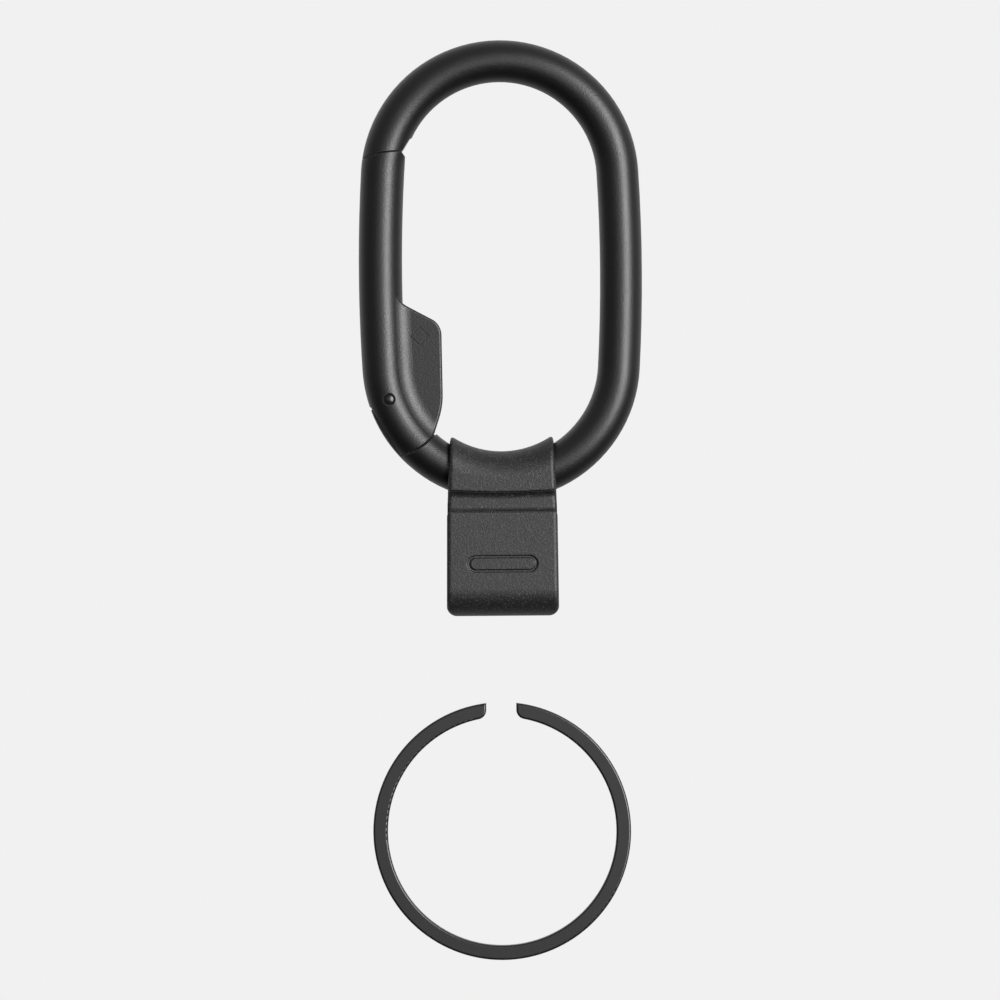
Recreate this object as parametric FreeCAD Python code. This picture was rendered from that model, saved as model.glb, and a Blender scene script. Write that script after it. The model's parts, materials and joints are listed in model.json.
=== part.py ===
import FreeCAD, Part
import math
import os

# Carabiner keyring, in millimetres. X is to the right, Y to the back, Z up.
# The origin is the hang point: the middle of the inside of the ring's top bend.

# --- Ring bar: round bar bent to an oval of four tangent arcs ---
BAR_R = 2.73
HALF_WIDTH = 15.68            # oval's centre to the bar's centreline, sideways
HALF_HEIGHT = 27.2            # oval's centre to the bar's centreline, upwards
END_R = 15.33                 # bend of the centreline at the top and the bottom
MID_Z = BAR_R - HALF_HEIGHT   # oval's centre
END_RISE = HALF_HEIGHT - END_R
SIDE_R = (HALF_WIDTH ** 2 + END_RISE ** 2 - END_R ** 2) / (2 * (HALF_WIDTH - END_R))
SIDE_SHIFT = SIDE_R - HALF_WIDTH
BOTTOM_Z = MID_Z - END_RISE   # centre of the bottom bend
TOP_Z = MID_Z + END_RISE

# --- Gate hinge ---
PIN_ALONG = 71.7              # place of the pin round the bottom bend, degrees from its lowest point
PIN_R = 0.70
PIN_END = 2.58                # pin's domed tip, from the middle plane
PIN_DOME = 0.22
PIN_SINK_R = 0.86             # counterbore round each pin end
PIN_SINK_FLOOR = 2.05
BOSS_R = 1.80
BOSS_BORE_R = PIN_R + 0.05
TONGUE_HALF = 0.75            # tongue's half thickness
SLOT_HALF = 0.83              # slot's half width, between the gate's cheeks
SLOT_DISC_R = 2.05
SLOT_FAN_LOW = -158           # slot's open side, degrees about the pin
SLOT_FAN_HIGH = 4
SLOT_FAN_REACH = 9.5

# --- Seams round the gate ---
GATE_END_R = 7.30             # gate's lower end, about the pin
SHOULDER_R = 7.56             # ring's shoulder, about the pin
NOSE_ARC_R = 16.0             # gate's tip, about a centre right of and above the pin
NOSE_ARC_X = 2.0
NOSE_ARC_Z = 16.1
NOSE_GAP = 0.26               # groove seen from the front
NOSE_RIB_GAP = 0.08           # gate's tip to the rib behind the groove, which stops the light
NOSE_RIB_HALF = 1.0

# --- Gate ---
GATE_R = 2.82                 # gate's bar, flush with the ring outside and prouder inside
GATE_SHIFT = GATE_R - BAR_R
WING_HALF = 1.42              # thumb wing's half thickness
WING_BLEND_R = 3.2            # hollow between the bar and the wing
WING_EDGE_R = 0.30
WING_FOOT_R = 10.0            # sweep from the wing's side into its foot
WING_NECK_R = 3.2             # hollow between the bar and the wing's top, from the front
SEAM_EDGE_R = 0.10            # eased edge of the gate's lower end
MARK_X = 4.03                 # plain diamond groove in the wing's front, from the pin
MARK_Z = 8.19
MARK_REACH = 1.35
MARK_LINE = 0.32
MARK_DEPTH = 0.20

# --- Plunger and spring, in a blind bore of the gate beside the pin ---
BORE_OFFSET = 2.75
BORE_R = 0.80
BORE_TOP = 7.4                # above the pin
PLUNGER_R = 0.75
PLUNGER_FOOT = -2.5
PLUNGER_TOP = 2.6
LEDGE_Z = PLUNGER_FOOT - 0.04
SPRING_WIRE_R = 0.11
SPRING_R = 0.57               # centre of the wire
SPRING_TURNS = 7
SPRING_END_GAP = 0.02

# --- Strap: moulded loop that saddles the bottom bend ---
STRAP_BORE_R = BAR_R + 0.10
SADDLE_R = 3.70
SADDLE_FOOT_Z = MID_Z - 28.85
WAIST_HALF = 2.85
LOBE_TOP_Z = MID_Z - 31.4
LOBE_HALF = 3.60
STRAP_BOTTOM_Z = MID_Z - 44.9
EYE_HALF = 2.30
EYE_TOP_Z = LOBE_TOP_Z - 1.2
EYE_BOTTOM_Z = STRAP_BOTTOM_Z + LOBE_HALF - EYE_HALF
STRAP_ROUGH_HALF = 9.0        # half-width before the strap's outline is cut

# --- Key ring: flat wire bent to an open ring ---
RING_X = -0.33
RING_Z = MID_Z - 72.86
RING_OUT_R = 16.75
RING_IN_R = 14.85
RING_HALF = 0.90
RING_GAP = 3.9
RING_EDGE_R = 0.28
RING_INNER_CORNER_R = 1.2

Y_AXIS = FreeCAD.Vector(0, 1, 0)
Z_AXIS = FreeCAD.Vector(0, 0, 1)
PIN_X = -END_R * math.sin(math.radians(PIN_ALONG))
PIN_Z = BOTTOM_Z - END_R * math.cos(math.radians(PIN_ALONG))


def at(x, y, z):
    """A point in the part's frame."""
    return FreeCAD.Vector(x, y, z)


def save(shape, node):
    """Writes one node, and stops if it isn't one valid solid."""
    if not shape.isValid() or len(shape.Solids) != 1:
        raise RuntimeError(f"{node}: valid {shape.isValid()}, solids {len(shape.Solids)}")
    shape.exportStep(f"parts/{node}.step")
    print(f"{node}: {shape.Volume:.2f} mm3")


def outline(corners, x0=0.0, z0=0.0):
    """A closed face in the XZ plane from (x, z, corner radius) points, shifted by x0 and z0."""
    points = [at(x + x0, 0, z + z0) for x, z, radius in corners]
    count = len(points)
    edges = []
    last = None
    first = None
    for i in range(count):
        corner = points[i]
        radius = corners[i][2]
        before = (points[i - 1] - corner).normalize()
        after = (points[(i + 1) % count] - corner).normalize()
        if radius > 0:
            half = before.getAngle(after) / 2
            reach = radius / math.tan(half)
            start = corner + before * reach
            end = corner + after * reach
            bisector = (before + after).normalize()
            middle = corner + bisector * (radius / math.sin(half) - radius)
        else:
            start = corner
            end = corner
        if last is not None:
            edges.append(Part.LineSegment(last, start).toShape())
        else:
            first = start
        if radius > 0:
            edges.append(Part.Arc(start, middle, end).toShape())
        last = end
    edges.append(Part.LineSegment(last, first).toShape())
    return Part.Face(Part.Wire(edges))


def slab(face, half):
    """The XZ face made a plate from y = -half to y = +half."""
    plate = face.copy()
    plate.translate(at(0, -half, 0))
    return plate.extrude(at(0, 2 * half, 0))


def disc(x, z, radius, half):
    """A round plate in the XZ plane."""
    return Part.makeCylinder(radius, 2 * half, at(x, -half, z), Y_AXIS)


def along_oval(section, start, end):
    """Carries a section round the oval, from one angle to another.

    The angle is that of the outward normal, from straight down towards the left, so it runs
    through the bottom, left, top and right arcs in turn. The section takes an arc's radius and
    returns a face whose x is the distance in from the centreline less that radius.
    """
    turn = math.degrees(math.asin(SIDE_SHIFT / (SIDE_R - END_R)))
    arcs = (
        (0.0, BOTTOM_Z, END_R, -turn, turn),
        (SIDE_SHIFT, MID_Z, SIDE_R, turn, 180 - turn),
        (0.0, TOP_Z, END_R, 180 - turn, 180 + turn),
        (-SIDE_SHIFT, MID_Z, SIDE_R, 180 + turn, 360 - turn),
    )
    pieces = []
    for x, z, radius, low, high in arcs:
        a = max(low, start)
        b = min(high, end)
        if b - a < 1e-6:
            continue
        face = section(radius)
        face.rotate(at(0, 0, 0), Y_AXIS, a - 90)
        face.translate(at(x, 0, z))
        pieces.append(face.revolve(at(x, 0, z), Y_AXIS, b - a))
    solid = pieces[0]
    for piece in pieces[1:]:
        solid = solid.fuse(piece)
    return solid


def round_section(bar_radius, shift=0.0):
    """A round bar's section, with its middle shifted in from the centreline."""
    def section(radius):
        circle = Part.Circle(at(shift - radius, 0, 0), Z_AXIS, bar_radius)
        return Part.Face(Part.Wire(circle.toShape()))
    return section


def wing_section(radius):
    """The wing's section: from inside the bar, up a hollow that runs out of its round, to a flat plate."""
    bar = GATE_R - 0.004
    rise = WING_HALF + WING_BLEND_R
    reach = math.sqrt((bar + WING_BLEND_R) ** 2 - rise ** 2)
    hollow = GATE_SHIFT + reach
    touch = GATE_SHIFT + reach * bar / (bar + WING_BLEND_R)
    touch_y = rise * bar / (bar + WING_BLEND_R)
    tilt = math.atan2(reach, rise) / 2
    middle = hollow - WING_BLEND_R * math.sin(tilt)
    middle_y = rise - WING_BLEND_R * math.cos(tilt)
    far = 8.6
    inside = 0.8

    def p(n, y):
        return at(n - radius, y, 0)

    edges = [
        Part.LineSegment(p(inside, -1.2), p(touch, -touch_y)).toShape(),
        Part.Arc(p(touch, -touch_y), p(middle, -middle_y), p(hollow, -WING_HALF)).toShape(),
        Part.LineSegment(p(hollow, -WING_HALF), p(far, -WING_HALF)).toShape(),
        Part.LineSegment(p(far, -WING_HALF), p(far, WING_HALF)).toShape(),
        Part.LineSegment(p(far, WING_HALF), p(hollow, WING_HALF)).toShape(),
        Part.Arc(p(hollow, WING_HALF), p(middle, middle_y), p(touch, touch_y)).toShape(),
        Part.LineSegment(p(touch, touch_y), p(inside, 1.2)).toShape(),
        Part.LineSegment(p(inside, 1.2), p(inside, -1.2)).toShape(),
    ]
    return Part.Face(Part.Wire(edges))


def gate_room(clearance, end_radius):
    """The space of the gate: under the nose's arc, and about the pin."""
    room = disc(PIN_X + NOSE_ARC_X, PIN_Z + NOSE_ARC_Z, NOSE_ARC_R + clearance, 5)
    room = room.fuse(disc(PIN_X, PIN_Z, end_radius, 5))
    return room.fuse(Part.makeBox(10, 10, 17, at(PIN_X - 6, -5, PIN_Z)))


def tongue():
    """The ring's flat tongue: a boss round the pin, a neck, and a ledge for the plunger's foot."""
    plate = outline((
        (-3.6, -2.1, 0),
        (-3.6, -9.5, 0),
        (8.5, -9.5, 0),
        (7.4, -5.95, 0),
        (3.4, LEDGE_Z, 0.3),
        (1.2, LEDGE_Z, 0.2),
        (1.2, 0, 0),
        (0, 0, 0),
    ), PIN_X, PIN_Z)
    return slab(plate, TONGUE_HALF).fuse(disc(PIN_X, PIN_Z, BOSS_R, TONGUE_HALF))


def edges_near(shape, test):
    """The shape's edges whose middle point passes the test."""
    found = []
    for edge in shape.Edges:
        middle = edge.valueAt((edge.FirstParameter + edge.LastParameter) / 2)
        if edge.Length > 0.05 and test(middle):
            found.append(edge)
    return found


def from_pin(point):
    """A point's distance from the pin's axis."""
    return math.hypot(point.x - PIN_X, point.z - PIN_Z)


def nose_rib():
    """The rib in the middle of the ring's nose, close to the gate's tip."""
    x = PIN_X + NOSE_ARC_X
    z = PIN_Z + NOSE_ARC_Z
    rib = disc(x, z, NOSE_ARC_R + NOSE_GAP + 0.1, NOSE_RIB_HALF).cut(disc(x, z, NOSE_ARC_R + NOSE_RIB_GAP, 3))
    return rib.common(Part.makeBox(12, 6, 8, at(PIN_X - 6, -3, PIN_Z + 28)))


def clip_body():
    """The ring's fixed part: the oval bar from the nose round to the shoulder, with its tongue."""
    ring = along_oval(round_section(BAR_R), -90, 360)
    window = gate_room(NOSE_GAP, SHOULDER_R).cut(tongue()).cut(nose_rib())
    body = ring.cut(window)
    body = body.cut(disc(PIN_X, PIN_Z, BOSS_BORE_R, 5))
    nose_corner = outline((
        (2.90, 33.85, 0),
        (1.67, 31.90, 0),
        (4.50, 31.90, 0),
        (4.50, 34.60, 0),
    ), PIN_X, PIN_Z)
    return body.cut(slab(nose_corner, 5))


def wing_outline():
    """The thumb wing seen from the front, with the bar beside it."""
    return outline((
        (-1.0, 15.5, 0),
        (0.75, 15.5, 0),
        (0.75, 12.98, WING_NECK_R),
        (6.82, 9.74, 2.3),
        (6.96, -0.90, WING_FOOT_R),
        (5.00, -6.90, 0),
        (-4.0, -8.5, 0),
        (-4.0, 5.0, 0),
    ), PIN_X, PIN_Z)


def wing_rim(body):
    """The edges between the wing's flat faces and its rim."""
    rim = []
    for edge in edges_near(body, lambda p: WING_HALF - 0.01 < abs(p.y) < WING_HALF + 0.01):
        curve = edge.Curve
        if curve.TypeId == "Part::GeomCircle":
            wanted = curve.Radius < 5 or abs(curve.Radius - WING_FOOT_R) < 0.01
        else:
            slope = abs(edge.tangentAt(edge.FirstParameter).x)
            wanted = edge.Length < 3.5 or curve.TypeId != "Part::GeomLine" or slope < 0.5
        if wanted:
            rim.append(edge)
    return rim


def diamond(reach):
    """A diamond in the wing's middle plane, where the mark is."""
    corners = ((-reach, 0, 0), (0, -reach, 0), (reach, 0, 0), (0, reach, 0))
    return outline(corners, PIN_X + MARK_X, PIN_Z + MARK_Z)


def gate():
    """The spring gate: bar, wing and two cheeks, with its slot, plunger bore and pin hole."""
    bar = along_oval(round_section(GATE_R, GATE_SHIFT), 30, 130)
    wing = along_oval(wing_section, 30, 100).common(slab(wing_outline(), 5))
    body = bar.fuse(wing).common(gate_room(0, GATE_END_R))
    body = body.makeFillet(WING_EDGE_R, wing_rim(body))
    seam = edges_near(
        body,
        lambda p: abs(from_pin(p) - GATE_END_R) < 0.01 and abs(p.y) < 2.2 and p.z < PIN_Z,
    )
    body = body.makeFillet(SEAM_EDGE_R, [edge for edge in seam if edge.Length > 0.9])
    tip_cut = outline((
        (2.10, 27.5, 0),
        (2.27, 31.55, 0),
        (1.80, 32.20, 0),
        (4.0, 33.2, 0),
        (4.0, 27.5, 0),
    ), PIN_X, PIN_Z)
    body = body.cut(slab(tip_cut, 5))
    mark = slab(diamond(MARK_REACH), 1).cut(slab(diamond(MARK_REACH - MARK_LINE), 2))
    mark.translate(at(0, MARK_DEPTH - WING_HALF - 1, 0))
    body = body.cut(mark)
    cheek_cut = outline((
        (-2.37, -1.08, 0),
        (-4.6, 0.6, 0),
        (-6.0, -9.0, 0),
        (2.46, -9.0, 0),
    ), PIN_X, PIN_Z)
    body = body.cut(slab(cheek_cut, 5))
    body = body.cut(disc(PIN_X, PIN_Z, SLOT_DISC_R, SLOT_HALF))
    low = math.radians(SLOT_FAN_LOW)
    high = math.radians(SLOT_FAN_HIGH)
    far = SLOT_FAN_REACH
    fan = outline((
        (0, 0, 0),
        (far * math.cos(high), far * math.sin(high), 0),
        (far, -far, 0),
        (-far, -far, 0),
        (far * math.cos(low), far * math.sin(low), 0),
    ), PIN_X, PIN_Z)
    body = body.cut(slab(fan, SLOT_HALF))
    body = body.cut(disc(PIN_X, PIN_Z, PIN_R, 5))
    for side in (-1, 1):
        sink = Part.makeCylinder(PIN_SINK_R, 2, at(PIN_X, side * PIN_SINK_FLOOR, PIN_Z), Y_AXIS * side)
        body = body.cut(sink)
    bore = Part.makeCylinder(BORE_R, BORE_TOP + 1, at(PIN_X + BORE_OFFSET, 0, PIN_Z - 1), Z_AXIS)
    return body.cut(bore)


def hinge_pin():
    """The rivet: a plain pin with domed ends."""
    flat = PIN_END - PIN_DOME
    rod = Part.makeCylinder(PIN_R, 2 * flat, at(PIN_X, -flat, PIN_Z), Y_AXIS)
    dome_r = (PIN_R ** 2 + PIN_DOME ** 2) / (2 * PIN_DOME)
    for side in (-1, 1):
        ball = Part.makeSphere(dome_r, at(PIN_X, side * (PIN_END - dome_r), PIN_Z))
        cap = Part.makeCylinder(PIN_R, PIN_DOME, at(PIN_X, side * flat, PIN_Z), Y_AXIS * side)
        rod = rod.fuse(cap.common(ball))
    return rod.removeSplitter()


def spring_plunger():
    """The plunger: a rod with a round foot that rides on the tongue's ledge."""
    x = PIN_X + BORE_OFFSET
    foot = PIN_Z + PLUNGER_FOOT + PLUNGER_R
    rod = Part.makeCylinder(PLUNGER_R, PIN_Z + PLUNGER_TOP - foot, at(x, 0, foot), Z_AXIS)
    return rod.fuse(Part.makeSphere(PLUNGER_R, at(x, 0, foot))).removeSplitter()


def gate_spring():
    """The compression spring between the plunger and the end of its bore."""
    bottom = PLUNGER_TOP + SPRING_END_GAP + SPRING_WIRE_R
    height = BORE_TOP - SPRING_END_GAP - SPRING_WIRE_R - bottom
    helix = Part.makeHelix(height / SPRING_TURNS, height, SPRING_R)
    circle = Part.Circle(at(SPRING_R, 0, 0), Y_AXIS, SPRING_WIRE_R)
    wire = Part.Wire(helix).makePipeShell([Part.Wire(circle.toShape())], True, True)
    wire.translate(at(PIN_X + BORE_OFFSET, 0, PIN_Z + bottom))
    return wire


def strap_outline():
    """The strap seen from the front: a little wider towards its rounded bottom corners."""
    return outline((
        (-6.72, MID_Z - 20.6, 0),
        (6.72, MID_Z - 20.6, 0),
        (7.16, MID_Z - 30.5, 0),
        (7.28, STRAP_BOTTOM_Z, 0.8),
        (-7.28, STRAP_BOTTOM_Z, 0.8),
        (-7.16, MID_Z - 30.5, 0),
    ))


def strap_loop():
    """The strap: saddle round the bar, pressed waist, and a flat lobe with a through eye."""
    saddle = along_oval(round_section(SADDLE_R), -40, 40)
    side = STRAP_ROUGH_HALF
    bend_z = BOTTOM_Z - math.sqrt(END_R ** 2 - side ** 2)
    cheeks = [
        Part.Arc(at(-side, 0, bend_z), at(0, 0, BOTTOM_Z - END_R), at(side, 0, bend_z)).toShape(),
        Part.LineSegment(at(side, 0, bend_z), at(side, 0, SADDLE_FOOT_Z)).toShape(),
        Part.LineSegment(at(side, 0, SADDLE_FOOT_Z), at(-side, 0, SADDLE_FOOT_Z)).toShape(),
        Part.LineSegment(at(-side, 0, SADDLE_FOOT_Z), at(-side, 0, bend_z)).toShape(),
    ]
    saddle = saddle.fuse(slab(Part.Face(Part.Wire(cheeks)), SADDLE_R - 0.001))
    under = Part.makeBox(2 * side, 10, 6, at(-side, -5, SADDLE_FOOT_Z - 6))
    saddle = saddle.cut(under)
    waist = Part.makeBox(2 * side, 2 * WAIST_HALF, 4, at(-side, -WAIST_HALF, LOBE_TOP_Z - 1))
    round_z = STRAP_BOTTOM_Z + LOBE_HALF
    lobe = Part.makeBox(2 * side, 2 * LOBE_HALF, LOBE_TOP_Z - round_z, at(-side, -LOBE_HALF, round_z))
    lobe = lobe.fuse(Part.makeCylinder(LOBE_HALF, 2 * side, at(-side, 0, round_z), at(1, 0, 0)))
    body = saddle.fuse(waist).fuse(lobe)
    body = body.common(slab(strap_outline(), 5))
    body = body.cut(along_oval(round_section(STRAP_BORE_R), -50, 50))
    eye_top = EYE_TOP_Z - EYE_HALF
    eye = Part.makeBox(2 * side, 2 * EYE_HALF, eye_top - EYE_BOTTOM_Z - EYE_HALF,
                       at(-side, -EYE_HALF, EYE_BOTTOM_Z + EYE_HALF))
    for z in (eye_top, EYE_BOTTOM_Z + EYE_HALF):
        eye = eye.fuse(Part.makeCylinder(EYE_HALF, 2 * side, at(-side, 0, z), at(1, 0, 0)))
    return body.cut(eye).removeSplitter()


def key_ring():
    """The open ring: flat wire with eased edges, its gap at the top."""
    ring = disc(RING_X, RING_Z, RING_OUT_R, RING_HALF).cut(disc(RING_X, RING_Z, RING_IN_R, RING_HALF + 1))
    ring = ring.cut(Part.makeBox(RING_GAP, 4, 20, at(RING_X - RING_GAP / 2, -2, RING_Z)))
    inner = edges_near(ring, lambda p: abs(p.y) < 0.01 and p.z < RING_Z + RING_IN_R and p.z > RING_Z)
    ring = ring.makeFillet(RING_INNER_CORNER_R, inner)
    rims = edges_near(ring, lambda p: abs(abs(p.y) - RING_HALF) < 0.01)
    return ring.makeFillet(RING_EDGE_R, rims)


NODES = {
    "clip_body": clip_body,
    "gate": gate,
    "hinge_pin": hinge_pin,
    "spring_plunger": spring_plunger,
    "gate_spring": gate_spring,
    "strap_loop": strap_loop,
    "key_ring": key_ring,
}

os.makedirs("parts", exist_ok=True)
for name, make in NODES.items():
    save(make(), name)
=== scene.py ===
import json
import math

import bpy
import numpy as np
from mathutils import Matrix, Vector


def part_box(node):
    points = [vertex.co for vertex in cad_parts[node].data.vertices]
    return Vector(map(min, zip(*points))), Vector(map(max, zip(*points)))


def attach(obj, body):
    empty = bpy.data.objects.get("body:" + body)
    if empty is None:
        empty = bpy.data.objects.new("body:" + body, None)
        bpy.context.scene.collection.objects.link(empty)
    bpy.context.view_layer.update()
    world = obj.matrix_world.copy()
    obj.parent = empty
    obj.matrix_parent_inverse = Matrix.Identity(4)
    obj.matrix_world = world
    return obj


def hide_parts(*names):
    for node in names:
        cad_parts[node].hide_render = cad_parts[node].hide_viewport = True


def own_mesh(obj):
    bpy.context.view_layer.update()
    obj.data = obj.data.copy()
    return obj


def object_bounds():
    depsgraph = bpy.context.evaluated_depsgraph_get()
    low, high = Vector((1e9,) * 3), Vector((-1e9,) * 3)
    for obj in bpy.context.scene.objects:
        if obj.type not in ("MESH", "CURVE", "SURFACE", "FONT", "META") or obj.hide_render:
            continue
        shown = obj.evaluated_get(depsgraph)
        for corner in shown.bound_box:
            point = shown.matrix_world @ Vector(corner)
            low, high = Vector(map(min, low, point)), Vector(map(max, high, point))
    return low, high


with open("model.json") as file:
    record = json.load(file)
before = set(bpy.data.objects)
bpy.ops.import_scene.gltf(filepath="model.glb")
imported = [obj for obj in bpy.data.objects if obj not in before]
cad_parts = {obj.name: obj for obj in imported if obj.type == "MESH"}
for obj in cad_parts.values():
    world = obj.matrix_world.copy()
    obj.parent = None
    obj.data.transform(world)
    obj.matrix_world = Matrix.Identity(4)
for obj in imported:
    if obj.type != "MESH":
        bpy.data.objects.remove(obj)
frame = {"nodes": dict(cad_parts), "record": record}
cad_bounds = [list(corner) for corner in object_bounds()]

MM = 0.001
low, high = np.array(cad_bounds)
centre = (low + high) / 2

# --- Camera: a long lens square on to the front, a hair off plumb ---
VIEW_HEIGHT = 130 * MM
CAMERA_DISTANCE = 900 * MM
CAMERA_NEAR = 0.05
CAMERA_FAR = 20
SENSOR = 36.0
VIEW_SHIFT_X = -0.285 * MM
CAMERA_ROLL = math.radians(0.45)

# --- Studio ---
BACKDROP_GREY = 0.879
ROOM_BEHIND = 0.75                         # the room's glow behind the object
BEHIND_SPAN = (-0.3, 0.75)                 # where it starts and where it is whole, as a direction's y
ROOM_ABOVE = 0.42
ROOM_BELOW = 0.0
ABOVE_SPAN = (-0.6, 0.5)                   # from below to above, as a direction's z
FLOOR_DROP = 190 * MM
FLOOR_REACH = 1.4
FLOOR_SIDES = 96
FLOOR_GREY = 0.8
FLOOR_ROUGH = 0.9
FLOOR_GLOW = 0.33

# --- Finishes: sizes of what the shader groups draw ---
FINE_SIZE = 0.22 * MM
SWELL_SIZE = 0.9 * MM
MOTTLE_SIZE = 2.2 * MM
PIT_SPACING = 1.6 * MM
PIT_WALL = (0.03, 0.09)                    # a pit's wall, from its middle, as shares of the spacing
# Edge mask: lighter, smoother edges, partly real wear and partly a painted highlight along the rims.
WEAR_AND_HIGHLIGHT_REACH = 0.22 * MM
WEAR_AND_HIGHLIGHT_BEND = (0.995, 0.90)                  # cosine of the bend at which the lighter edge, wear and painted highlight, starts, and at which it is whole
WEAR_AND_HIGHLIGHT_BREAK_SIZE = 0.5 * MM
WEAR_AND_HIGHLIGHT_SAMPLES = 6
WEAR_AND_HIGHLIGHT_SMOOTH = 0.12                         # edges under the wear and painted highlight mask are this much smoother
SPECK_SIZE = 0.13 * MM
SPECK_FALL = 1.6                           # how fast a speck fades from its middle
GLINT_SIZE = 0.20 * MM
GLINT_SHARE = 0.45


def grey(value):
    """A neutral colour."""
    return (value, value, value)


def maths(tree, operation, first, second=None):
    """A Math node fed by sockets or numbers; returns its output."""
    node = tree.nodes.new("ShaderNodeMath")
    node.operation = operation
    for slot, value in enumerate((first, second)):
        if value is None:
            continue
        if isinstance(value, (int, float)):
            node.inputs[slot].default_value = value
        else:
            tree.links.new(value, node.inputs[slot])
    return node.outputs[0]


def eased(tree, value, span, start=0.0, end=1.0):
    """Goes from start to end along a smooth step, as the value crosses the span."""
    node = tree.nodes.new("ShaderNodeMapRange")
    node.interpolation_type = "SMOOTHSTEP"
    node.inputs["From Min"].default_value = span[0]
    node.inputs["From Max"].default_value = span[1]
    node.inputs["To Min"].default_value = start
    node.inputs["To Max"].default_value = end
    tree.links.new(value, node.inputs["Value"])
    return node.outputs["Result"]


def on_object(tree, kind):
    """A texture node of that kind, on object coordinates."""
    where = tree.nodes.new("ShaderNodeTexCoord")
    node = tree.nodes.new(kind)
    tree.links.new(where.outputs["Object"], node.inputs["Vector"])
    return node


def noise(tree, size, detail=2.0, roughness=0.5):
    """Noise on object coordinates, with features of about that size in metres; returns 0 to 1."""
    node = on_object(tree, "ShaderNodeTexNoise")
    node.inputs["Scale"].default_value = 1 / size
    node.inputs["Detail"].default_value = detail
    node.inputs["Roughness"].default_value = roughness
    return node.outputs["Fac"]


def make_camera():
    """The camera, level with the middle of the object's height."""
    data = bpy.data.cameras.new("camera")
    data.sensor_width = SENSOR
    data.lens = SENSOR * CAMERA_DISTANCE / VIEW_HEIGHT
    data.clip_start = CAMERA_NEAR
    data.clip_end = CAMERA_FAR
    camera = bpy.data.objects.new("camera", data)
    camera.location = (centre[0] + VIEW_SHIFT_X, -CAMERA_DISTANCE, centre[2])
    camera.rotation_euler = (math.radians(90), CAMERA_ROLL, 0)
    bpy.context.scene.collection.objects.link(camera)
    bpy.context.scene.camera = camera


def light_from(name, azimuth, elevation, distance, size, radiance):
    """A soft rectangular light that faces the object, given by its bearing from the camera's side in degrees.

    Azimuth is to the right of straight in front, and radiance is the brightness of its face.
    """
    turn = math.radians(azimuth)
    rise = math.radians(elevation)
    bearing = Vector((
        math.sin(turn) * math.cos(rise),
        -math.cos(turn) * math.cos(rise),
        math.sin(rise),
    ))
    data = bpy.data.lights.new(name, "AREA")
    data.shape = "RECTANGLE"
    data.size = size[0]
    data.size_y = size[1]
    data.energy = radiance * math.pi * size[0] * size[1]
    light = bpy.data.objects.new(name, data)
    light.location = Vector(centre) + bearing * distance
    light.rotation_euler = (-bearing).to_track_quat("-Z", "Y").to_euler()
    bpy.context.scene.collection.objects.link(light)


def make_world():
    """A pale surround as seen, and for lighting a room that is pale behind and above, and dim elsewhere."""
    world = bpy.data.worlds.new("studio")
    world.use_nodes = True
    tree = world.node_tree
    tree.nodes.clear()
    out = tree.nodes.new("ShaderNodeOutputWorld")
    mix = tree.nodes.new("ShaderNodeMixShader")
    path = tree.nodes.new("ShaderNodeLightPath")
    seen = tree.nodes.new("ShaderNodeBackground")
    seen.inputs["Color"].default_value = (*grey(BACKDROP_GREY), 1)
    lit = tree.nodes.new("ShaderNodeBackground")
    where = tree.nodes.new("ShaderNodeTexCoord")
    split = tree.nodes.new("ShaderNodeSeparateXYZ")
    tree.links.new(where.outputs["Generated"], split.inputs["Vector"])
    behind = eased(tree, split.outputs["Y"], BEHIND_SPAN, 0.0, ROOM_BEHIND)
    above = eased(tree, split.outputs["Z"], ABOVE_SPAN, ROOM_BELOW, ROOM_ABOVE)
    tree.links.new(maths(tree, "ADD", behind, above), lit.inputs["Strength"])
    tree.links.new(path.outputs["Is Camera Ray"], mix.inputs["Fac"])
    tree.links.new(lit.outputs["Background"], mix.inputs[1])
    tree.links.new(seen.outputs["Background"], mix.inputs[2])
    tree.links.new(mix.outputs["Shader"], out.inputs["Surface"])
    bpy.context.scene.world = world


def make_floor():
    """A plain pale round floor, well below the object, which the object doesn't mirror."""
    turns = np.linspace(0, 2 * np.pi, FLOOR_SIDES, endpoint=False)
    rim = np.stack([FLOOR_REACH * np.cos(turns), FLOOR_REACH * np.sin(turns)], 1)
    drop = np.full((FLOOR_SIDES, 1), low[2] - FLOOR_DROP)
    mesh = bpy.data.meshes.new("floor")
    mesh.from_pydata(np.hstack([rim, drop]).tolist(), [], [list(range(FLOOR_SIDES))])
    floor = bpy.data.objects.new("floor", mesh)
    bpy.context.scene.collection.objects.link(floor)
    material = bpy.data.materials.new("pale_floor")
    material.use_nodes = True
    shader = material.node_tree.nodes["Principled BSDF"]
    shader.inputs["Base Color"].default_value = (*grey(FLOOR_GREY), 1)
    shader.inputs["Roughness"].default_value = FLOOR_ROUGH
    shader.inputs["Emission Color"].default_value = (*grey(1), 1)
    shader.inputs["Emission Strength"].default_value = FLOOR_GLOW
    mesh.materials.append(material)
    floor.visible_glossy = False
    floor.visible_diffuse = False


# --- Shader groups shared by the finishes ---
def new_group(name, inputs, outputs):
    """An empty shader group with named float inputs (name, value) and named float outputs."""
    group = bpy.data.node_groups.new(name, "ShaderNodeTree")
    for label, value in inputs:
        socket = group.interface.new_socket(label, in_out="INPUT", socket_type="NodeSocketFloat")
        socket.default_value = value
    for label in outputs:
        group.interface.new_socket(label, in_out="OUTPUT", socket_type="NodeSocketFloat")
    group.nodes.new("NodeGroupInput").name = "in"
    group.nodes.new("NodeGroupOutput").name = "out"
    return group


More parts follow.
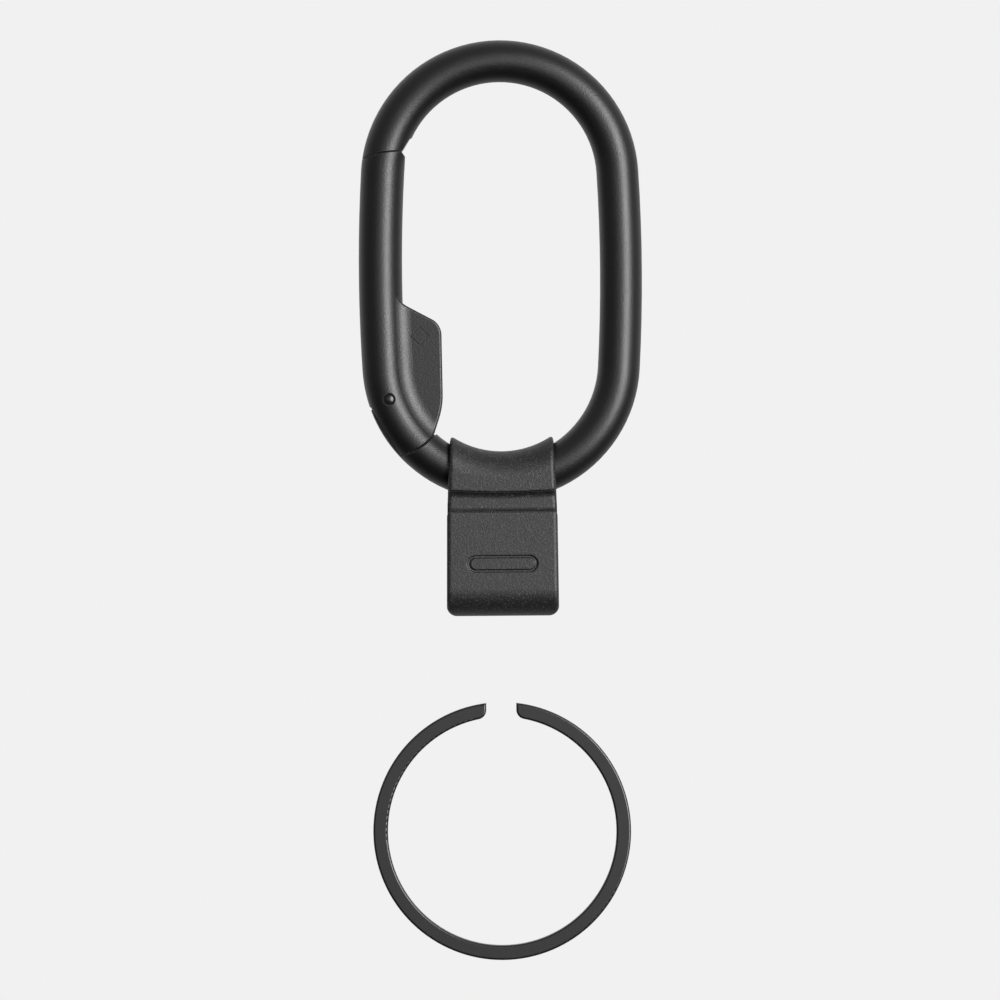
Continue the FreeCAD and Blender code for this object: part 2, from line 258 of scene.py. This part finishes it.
def grain_group():
    """Grain of a coat or a moulding: a fine height with a coarser swell under it, and sparse pits."""
    group = new_group("grain", (("Fine", 1.0), ("Swell", 0.3), ("Pits", 0.3)), ("Height", "Mottle"))
    given = group.nodes["in"].outputs
    fine = maths(group, "MULTIPLY", noise(group, FINE_SIZE, 3.0, 0.6), given["Fine"])
    swell = maths(group, "MULTIPLY", noise(group, SWELL_SIZE), given["Swell"])
    cells = on_object(group, "ShaderNodeTexVoronoi")
    cells.inputs["Scale"].default_value = 1 / PIT_SPACING
    hollow = eased(group, cells.outputs["Distance"], PIT_WALL, -1.0, 0.0)
    pits = maths(group, "MULTIPLY", hollow, given["Pits"])
    out = group.nodes["out"].inputs
    group.links.new(maths(group, "ADD", maths(group, "ADD", fine, swell), pits), out["Height"])
    group.links.new(noise(group, MOTTLE_SIZE, 4.0), out["Mottle"])
    return group


def edge_group():
    """A mask of lighter edges, part wear and part painted highlight: where the surface's rounded normal
    departs from its true one, broken by noise.
    """
    group = new_group("edge_wear_and_highlight", (("Reach", 0.2 * MM), ("Amount", 1.0)), ("Mask",))
    given = group.nodes["in"].outputs
    bevel = group.nodes.new("ShaderNodeBevel")
    bevel.samples = WEAR_AND_HIGHLIGHT_SAMPLES
    group.links.new(given["Reach"], bevel.inputs["Radius"])
    true = group.nodes.new("ShaderNodeNewGeometry")
    dot = group.nodes.new("ShaderNodeVectorMath")
    dot.operation = "DOT_PRODUCT"
    group.links.new(bevel.outputs["Normal"], dot.inputs[0])
    group.links.new(true.outputs["Normal"], dot.inputs[1])
    bend = eased(group, dot.outputs["Value"], WEAR_AND_HIGHLIGHT_BEND)
    broken = maths(group, "MULTIPLY", bend, noise(group, WEAR_AND_HIGHLIGHT_BREAK_SIZE, 3.0, 0.7))
    group.links.new(maths(group, "MULTIPLY", broken, given["Amount"]), group.nodes["out"].inputs["Mask"])
    return group


def speck_group():
    """Sparse bright specks: a few of the cells of a fine cell pattern, each as a small dot."""
    group = new_group("specks", (("Share", 0.05), ("Size", 0.2 * MM)), ("Mask",))
    given = group.nodes["in"].outputs
    cells = on_object(group, "ShaderNodeTexVoronoi")
    group.links.new(maths(group, "DIVIDE", 1.0, given["Size"]), cells.inputs["Scale"])
    pick = group.nodes.new("ShaderNodeSeparateColor")
    group.links.new(cells.outputs["Color"], pick.inputs["Color"])
    chosen = maths(group, "LESS_THAN", pick.outputs["Red"], given["Share"])
    dot = maths(group, "SUBTRACT", 1.0, maths(group, "MULTIPLY", cells.outputs["Distance"], SPECK_FALL))
    bright = maths(group, "MULTIPLY", maths(group, "MAXIMUM", dot, 0.0), pick.outputs["Green"])
    group.links.new(maths(group, "MULTIPLY", chosen, bright), group.nodes["out"].inputs["Mask"])
    return group


GRAIN = grain_group()
EDGES = edge_group()
SPECKS = speck_group()


def place(tree, group, **values):
    """Places a shader group in a material with its own values; returns its outputs."""
    node = tree.nodes.new("ShaderNodeGroup")
    node.node_tree = group
    for label, value in values.items():
        node.inputs[label].default_value = value
    return node.outputs


def blend_colour(tree, mask, plain, marked):
    """One colour where the mask is 0, another where it is 1."""
    mix = tree.nodes.new("ShaderNodeMix")
    mix.data_type = "RGBA"
    mix.inputs["A"].default_value = (*plain, 1)
    mix.inputs["B"].default_value = (*marked, 1)
    tree.links.new(mask, mix.inputs["Factor"])
    return mix.outputs["Result"]


def blend_value(tree, mask, plain, marked):
    """One value where the mask is 0, another where it is 1."""
    node = tree.nodes.new("ShaderNodeMapRange")
    node.inputs["To Min"].default_value = plain
    node.inputs["To Max"].default_value = marked
    tree.links.new(mask, node.inputs["Value"])
    return node.outputs["Result"]


def bumped(tree, height, depth):
    """A normal from a height in 0 to 1 that stands for that depth in metres."""
    node = tree.nodes.new("ShaderNodeBump")
    node.inputs["Distance"].default_value = depth
    node.inputs["Strength"].default_value = 1.0
    tree.links.new(height, node.inputs["Height"])
    return node.outputs["Normal"]


def finish(name, plain, worn_and_highlit, rough, rough_swing, fine, swell, pits, depth, wear_and_highlight, specks=0.0, glint=0.0,
           metallic=0.0):
    """A finish: grain in the normal, mottled roughness, and lighter, smoother edges and specks; the lighter
    edges are part wear, part painted highlight.

    Fine, swell and pits are the parts of the grain, and depth is how deep it is in millimetres.
    """
    material = bpy.data.materials.new(name)
    material.use_nodes = True
    tree = material.node_tree
    shader = tree.nodes["Principled BSDF"]
    shader.inputs["Metallic"].default_value = metallic
    shade = place(tree, GRAIN, Fine=fine, Swell=swell, Pits=pits)
    # The edges' lighter colour is partly real wear and partly a painted highlight along the rims.
    mask = place(tree, EDGES, Reach=WEAR_AND_HIGHLIGHT_REACH, Amount=wear_and_highlight)["Mask"]
    if specks:
        mask = maths(tree, "MAXIMUM", mask, place(tree, SPECKS, Share=specks, Size=SPECK_SIZE)["Mask"])
    tree.links.new(blend_colour(tree, mask, plain, worn_and_highlit), shader.inputs["Base Color"])
    base = blend_value(tree, shade["Mottle"], rough - rough_swing, rough + rough_swing)
    smooth = maths(tree, "MULTIPLY", mask, WEAR_AND_HIGHLIGHT_SMOOTH)
    if glint:
        spots = place(tree, SPECKS, Share=GLINT_SHARE, Size=GLINT_SIZE)["Mask"]
        smooth = maths(tree, "ADD", smooth, maths(tree, "MULTIPLY", spots, glint))
    tree.links.new(maths(tree, "SUBTRACT", base, smooth), shader.inputs["Roughness"])
    tree.links.new(bumped(tree, shade["Height"], depth * MM), shader.inputs["Normal"])
    return material


def black_coat():
    """Satin black coat of the clip and its gate, with a fine glitter."""
    # Its lighter edge colour is part wear, part painted highlight along the rims.
    return finish("black_coat", plain=grey(0.003), worn_and_highlit=grey(0.05), rough=0.41, rough_swing=0.03,
                  fine=1.0, swell=0.1, pits=0.15, depth=0.026, wear_and_highlight=0.5, glint=0.11)


def strap_rubber():
    """Dull black moulded rubber with pale specks."""
    # Its lighter colour marks the pale specks, and the edges as part wear, part painted highlight.
    return finish("strap_rubber", plain=grey(0.007), worn_and_highlit=grey(0.13), rough=0.51, rough_swing=0.05,
                  fine=1.0, swell=0.3, pits=0.3, depth=0.040, wear_and_highlight=0.25, specks=0.26)


def black_steel():
    """Smoother black finish of the key ring and the hinge pin."""
    # Its lighter edge colour is part wear, part painted highlight along the rims.
    return finish("black_steel", plain=grey(0.005), worn_and_highlit=grey(0.05), rough=0.32, rough_swing=0.04,
                  fine=0.5, swell=0.4, pits=0.1, depth=0.006, wear_and_highlight=0.6)


def steel():
    """Bare steel of the parts inside the gate."""
    # Its lighter edge colour is part wear, part painted highlight along the rims.
    return finish("steel", plain=(0.42, 0.42, 0.41), worn_and_highlit=grey(0.6), rough=0.28, rough_swing=0.05,
                  fine=0.6, swell=0.4, pits=0.1, depth=0.003, wear_and_highlight=0.4, metallic=1.0)


# --- Strap: a moulded loop, as two closed rings of skin that meet in the waist, in millimetres ---
BEND_Z = -36.34                            # centre of the bottom bend
BEND_R = 15.33
BORE_R = 2.83
SADDLE_R = 3.70
SADDLE_FOOT = -53.32
SADDLE_CORNER_R = 0.26
SADDLE_TRIM = 0.06                         # the saddle's half-width is this much less than the lobe's
SADDLE_FINE = 0.80                         # share of the half-width in which the rows are fine
FOOT_BOW = 0.26                            # the saddle's foot lifts this much towards the strap's sides
BOW_HALF = 7                               # half-width at which that lift is whole
WAIST_HALF = 2.85
TUCK_R = 0.90                              # hollow between the saddle's foot and the waist
TUCK_START = 112                           # its angle at the foot, in degrees
FLARE_R = 0.80                             # hollow between the waist and the lobe
FLARE_END = 248
TAIL_WIDER = 0.5                           # the upper ring ends inside the lobe, wider than the waist
TAIL_DEPTH = 0.8
LOBE_TOP = -55.87
LOBE_HALF = 3.60
LOBE_CORNER_R = 0.13
LOBE_FINE = 0.74
LOBE_FOOT = round(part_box("strap_loop")[0][2] / MM, 2)
ROUND_Z = LOBE_FOOT + LOBE_HALF            # centre of the lobe's half-round foot
EYE_HALF = 2.30
EYE_ROOF = 1.2                             # between the eye's top and the lobe's
EYE_ROUND_Z = LOBE_TOP - EYE_ROOF - EYE_HALF
SIDE_Z = (LOBE_FOOT, -54.97, -45.10)       # strap's half-width at three heights
SIDE_X = (7.28, 7.16, 6.72)
PROBE_X = 6.9                              # where across the strap a point's height is taken for its width
FOOT_CORNER = 0.80
RIM_R = 0.55                               # rounded edge between the front and the sides
HOLE_RIM_R = 0.20
MARK_Z = -62.57                            # plain stadium groove on the lobe's front
MARK_HALF = 3.45
MARK_R = 0.92
MARK_LINE = 0.17
MARK_DEPTH = 0.24
MARK_FLOOR = 0.55                          # half-width of the groove's floor, and its wall, in line widths
MARK_WALL = 0.7
MARK_CURVE = 1.5
MARK_BAND = 1.35                           # the rows are finer within this height of the groove's middle
FACE_TOLERANCE = 0.001

LEAST_R = 0.02                             # a corner's rounding stays at least this large
CORNER_POINTS = 7
EDGE_NEAR = 0.03                           # the extra point beside a rounding lies this close to it
EDGE_NEAR_SHARE = 0.2                      # and within this share of the points' spacing
PARTNER_INSET = 0.3                        # a hole's points pair with an outline this far inside the skin
FINE_ROWS = 130                            # where rows are fine, the whole width would have this many
END_SHARES = (0.985, 0.996, 1.0)
RIM_STEPS = 8
BORE_ROWS = 25
SIDE_SHARES = (0.08, 0.5, 0.92)


def half_width(z):
    """The strap's half-width at a height, with its foot's corners rounded off."""
    plain = np.interp(z, SIDE_Z, SIDE_X)
    below = np.clip(FOOT_CORNER - (z - LOBE_FOOT), 0, FOOT_CORNER)
    return plain - FOOT_CORNER + np.sqrt(FOOT_CORNER ** 2 - below ** 2)


def arc(y, z, radius, start, end, count):
    """Points (y, z) round a centre, between two angles in degrees from +Y towards +Z."""
    turn = np.radians(np.linspace(start, end, count))
    return np.stack([y + radius * np.cos(turn), z + radius * np.sin(turn)], 1)


def line(first, last, count, ends=(True, True)):
    """Points between first and last, with an extra point close to each end that joins a rounding."""
    share = list(np.linspace(0, 1, count + 2)[1:-1])
    length = max(math.dist(first, last), 1e-6)
    close = min(EDGE_NEAR / length, EDGE_NEAR_SHARE / (count + 1))
    share = ([close] if ends[0] else []) + share + ([1 - close] if ends[1] else [])
    return np.array([np.array(first) * (1 - f) + np.array(last) * f for f in share])


def corner(y, z, radius, inset, start, end, up):
    """A rounded outer corner of an outline at (y, z), drawn in by an inset."""
    back = max(radius, inset)
    return arc(y - back, z - up * back, max(radius - inset, LEAST_R), start, end, CORNER_POINTS)


def saddle_half(inset):
    """Half of the upper ring's outline, from top to foot: y, bend radius, height and share of height."""
    size = SADDLE_R - inset
    turn = np.radians(np.linspace(0, 90, 34))
    crown = np.stack([size * np.sin(turn), BEND_R - size * np.cos(turn)], 1)
    foot = SADDLE_FOOT + inset
    wall = WAIST_HALF - inset
    inner = TUCK_R + inset
    flare = FLARE_R + inset
    below = LOBE_TOP - inset
    edge = corner(SADDLE_R, SADDLE_FOOT, SADDLE_CORNER_R, inset, 0, -90, -1)
    tuck = arc(wall + inner, foot - inner, inner, TUCK_START, 180, 9)
    swell = arc(wall + flare, below + flare, flare, 180, FLARE_END, 9)
    tail = (WAIST_HALF + TAIL_WIDER, LOBE_TOP - TAIL_DEPTH)
    tail_middle = (0, LOBE_TOP - TAIL_DEPTH)
    lower = np.vstack([
        edge,
        line(edge[-1], tuck[0], 2),
        tuck,
        line(tuck[-1], swell[0], 6),
        swell,
        [tail],
        line(tail, tail_middle, 6, (False, False)),
        [tail_middle],
    ])
    side = np.linspace(0, 1, 12)[1:-1]
    y = np.concatenate([crown[:, 0], np.full(len(side), size), lower[:, 0]])
    bend = np.concatenate([crown[:, 1], np.full(len(side) + len(lower), BEND_R)])
    height = np.concatenate([np.zeros(len(crown)), np.full(len(side), edge[0, 1]), lower[:, 1]])
    share = np.concatenate([np.zeros(len(crown)), side, np.ones(len(lower))])
    return np.stack([y, bend, height, share], 1)


def saddle_hole_half(inset):
    """Half of the bore's outline, each point straight in from its partner in saddle_half()."""
    y, bend, height, share = saddle_half(PARTNER_INSET).T
    z = BEND_Z - bend + share * (height - BEND_Z + bend)
    turn = np.maximum.accumulate(np.arctan2(y, z - BEND_Z + BEND_R))
    size = BORE_R + inset
    zero = np.zeros(len(turn))
    return np.stack([size * np.sin(turn), BEND_R - size * np.cos(turn), zero, zero], 1)


def lobe_half(inset):
    """Half of the lower ring's outline, from the top to the foot."""
    top = (0, LOBE_TOP - inset)
    edge = corner(LOBE_HALF, LOBE_TOP, LOBE_CORNER_R, inset, 90, 0, 1)
    wall = edge[-1][0]
    band_top = (wall, MARK_Z + MARK_BAND)
    band_foot = (wall, MARK_Z - MARK_BAND)
    foot = arc(0, ROUND_Z, LOBE_HALF - inset, 0, -90, 46)
    points = np.vstack([
        [top],
        line(top, edge[0], 8, (False, True)),
        edge,
        line(edge[-1], band_top, 30, (True, False)),
        line(band_top, band_foot, 48, (False, False)),
        line(band_foot, foot[0], 12),
        foot,
    ])
    y, height = points.T
    return np.stack([y, np.full(len(y), BEND_R), height, np.ones(len(y))], 1)


def lobe_hole_half(inset):
    """Half of the eye's outline, each point straight in from its partner in lobe_half()."""
    y, bend, z, share = lobe_half(PARTNER_INSET).T
    size = EYE_HALF + inset
    upper = np.arctan2(y, np.maximum(z - EYE_ROUND_Z, 0))
    lower = np.pi / 2 + np.arctan2(np.maximum(ROUND_Z - z, 0), y)
    turn = np.where(z > EYE_ROUND_Z, upper, np.where(z < ROUND_Z, lower, np.pi / 2))
    turn[0] = 0
    middle = np.clip(z, ROUND_Z, EYE_ROUND_Z)
    return np.stack([size * np.sin(turn), bend, middle + size * np.cos(turn), share], 1)


def whole(half):
    """The whole outline: the half at the back, then its mirror image at the front."""
    front = half[-2:0:-1].copy()
    front[:, 0] *= -1
    return np.vstack([half, front])


def placed(outline, x):
    """Points (x, y, z) of an outline at one x for each of its points.

    A share of 0 puts a point on the bend, at BEND_Z less the root of (bend radius squared less x squared). A
    share of 1 puts it at its own height, lifted by the foot's bow times (x / BOW_HALF) squared.
    """
    y, bend, height, share = outline.T
    curved = BEND_Z - np.sqrt(bend ** 2 - x ** 2)
    bow = FOOT_BOW * (x / BOW_HALF) ** 2
    level = height + bow * np.clip((height - LOBE_TOP) / (SADDLE_FOOT - LOBE_TOP), 0, 1)
    return np.stack([x, y, curved * (1 - share) + level * share], 1)


def across(count, fine):
    """Shares of the half-width from -1 to 1, closer together within the fine part."""
    outer = np.linspace(fine, 1, count + 1)
    outer = np.append(outer[:-1], END_SHARES)
    middle = np.linspace(-fine, fine, int(fine * FINE_ROWS) | 1)
    return np.concatenate([-outer[::-1], middle[1:-1], outer])


def width_along(outline, trim):
    """The half-width at each point of an outline."""
    return half_width(placed(outline, np.full(len(outline), PROBE_X))[:, 2]) - trim


def rounded_edge(outline, width, radius):
    """Rows of a rounded edge, from the face to the side: x = w - r + r sin a, with an inset r (1 - cos a).

    Here w is the half-width at that height, r is the edge's radius, and a goes from 0 to 90 degrees.
    """
    turns = np.radians(np.linspace(0, 90, RIM_STEPS))[1:]
    insets = [radius * (1 - math.cos(a)) for a in turns]
    reaches = [width - radius + radius * math.sin(a) for a in turns]
    return [placed(whole(outline(inset)), reach) for inset, reach in zip(insets, reaches)]


def skin(outer, hole, shares, trim):
    """A closed ring of skin as a grid, whose rows go round by face, rim, side, hole's rim and hole's wall.

    On the face and the hole's wall x = (w - r) u, for the half-width w at that height, the rim's radius r and
    the shares u. rounded_edge() gives the rims, and the side is straight between them.
    """
    face = whole(outer(0))
    width = width_along(face, trim)
    bore = whole(hole(0))
    bore_width = width_along(bore, trim)
    rows = [placed(face, (width - RIM_R) * u) for u in shares]
    rims = rounded_edge(outer, width, RIM_R)
    bores = rounded_edge(hole, bore_width, HOLE_RIM_R)
    side = [rims[-1] * (1 - f) + bores[-1] * f for f in SIDE_SHARES]
    wall = [placed(bore, (bore_width - HOLE_RIM_R) * u) for u in np.linspace(1, -1, BORE_ROWS)]
    flip = np.array([-1, 1, 1])
    right = rims + side + bores[::-1]
    left = [row * flip for row in right[::-1]]
    return np.stack(rows + right + wall + left)


def grid_quads(rings, around, closed):
    """Quads of a grid that closes round each ring, and also from the last ring to the first if closed."""
    ring, step = np.meshgrid(np.arange(rings if closed else rings - 1), np.arange(around), indexing="ij")
    ahead = (ring + 1) % rings
    after = (step + 1) % around
    here = ring * around
    there = ahead * around
    return np.stack([here + step, there + step, there + after, here + after], 2).reshape(-1, 4)


def new_piece(name, vertices, faces, body, slot):
    """A smooth mesh object from arrays in millimetres, on a body, with its finish."""
    mesh = bpy.data.meshes.new(name)
    mesh.from_pydata((vertices * MM).tolist(), [], faces)
    mesh.shade_smooth()
    mesh.materials.append(FINISHES[slot])
    piece = bpy.data.objects.new(name, mesh)
    bpy.context.scene.collection.objects.link(piece)
    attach(piece, body)
    return piece


def press_groove(grid):
    """Sinks a stadium groove into the grid's front.

    The groove follows the points at MARK_R from the stadium's middle line. Its floor is MARK_DEPTH deep, and
    up its wall the depth is MARK_DEPTH times (1 less t to the power MARK_CURVE), for the share t of the wall.
    """
    x, y, z = np.moveaxis(grid, 2, 0)
    from_middle = np.hypot(np.maximum(np.abs(x) - MARK_HALF, 0), z - MARK_Z)
    from_line = np.abs(from_middle - MARK_R)
    up_wall = np.clip((from_line - MARK_LINE * MARK_FLOOR) / (MARK_LINE * MARK_WALL), 0, 1)
    sink = MARK_DEPTH * (1 - up_wall ** MARK_CURVE)
    grid[:, :, 1] += np.where(y < -LOBE_HALF + FACE_TOLERANCE, sink, 0)


def make_strap():
    """The strap: the saddle and waist, and the lobe with a stadium groove on its front."""
    upper = skin(saddle_half, saddle_hole_half, across(12, SADDLE_FINE), SADDLE_TRIM)
    lower = skin(lobe_half, lobe_hole_half, across(14, LOBE_FINE), 0.0)
    press_groove(lower)
    first = upper.reshape(-1, 3)
    second = lower.reshape(-1, 3)
    faces = np.vstack([
        grid_quads(*upper.shape[:2], closed=True),
        grid_quads(*lower.shape[:2], closed=True) + len(first),
    ])
    strap = new_piece("strap", np.vstack([first, second]), faces.tolist(), "strap", "strap_rubber")
    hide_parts("strap_loop")


# --- Gate spring: a fine wire wound to a helix in the gate's bore, in millimetres ---
SPRING_R = 0.57
SPRING_TURNS = 7
WIRE_R = 0.11
WIRE_SIDES = 12
TURN_STEPS = 28
TIP_SHARE = 0.004                          # each tip closes over this share of the wire's length
TIP_LEAST = 0.05                           # share of the wire's radius squared that is left at its end


def make_spring():
    """The wire's surface: a circle of WIRE_R carried along a helix, its two ends drawn in to closed tips."""
    foot, top = np.array(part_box("gate_spring")) / MM
    middle = (foot[0] + top[0]) / 2
    along = np.linspace(0, 1, SPRING_TURNS * TURN_STEPS + 1)
    turn = 2 * np.pi * SPRING_TURNS * along
    rise = foot[2] + WIRE_R + (top[2] - foot[2] - 2 * WIRE_R) * along
    thick = WIRE_R * np.sqrt(np.clip(np.minimum(along, 1 - along) / TIP_SHARE, TIP_LEAST, 1))
    around = np.linspace(0, 2 * np.pi, WIRE_SIDES, endpoint=False)
    reach = SPRING_R + np.outer(thick, np.cos(around))
    x = middle + reach * np.cos(turn)[:, None]
    y = reach * np.sin(turn)[:, None]
    z = rise[:, None] + np.outer(thick, np.sin(around))
    vertices = np.stack([x, y, z], 2).reshape(-1, 3)
    faces = grid_quads(len(along), WIRE_SIDES, closed=False).tolist()
    faces.append(list(range(WIRE_SIDES)))
    faces.append(list(range(len(vertices) - 1, len(vertices) - WIRE_SIDES - 1, -1)))
    coil = new_piece("gate_coil", vertices, faces, "gate", "steel")
    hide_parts("gate_spring")
    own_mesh(coil)


def dress_nodes():
    """Gives each CAD node the finish of its slot."""
    for part in frame["record"]["subparts"]:
        node = frame["nodes"][part["node"]]
        node.data.materials.clear()
        node.data.materials.append(FINISHES[part["material_slot"]])


FINISHES = {make.__name__: make() for make in (black_coat, strap_rubber, black_steel, steel)}
make_camera()
make_world()
make_floor()
light_from("key", azimuth=35, elevation=9, distance=1.1, size=(0.46, 0.90), radiance=16.5)
light_from("front", azimuth=4, elevation=4, distance=1.4, size=(1.0, 0.6), radiance=1.1)
bpy.context.scene.view_settings.view_transform = "Standard"
dress_nodes()
make_strap()
make_spring()
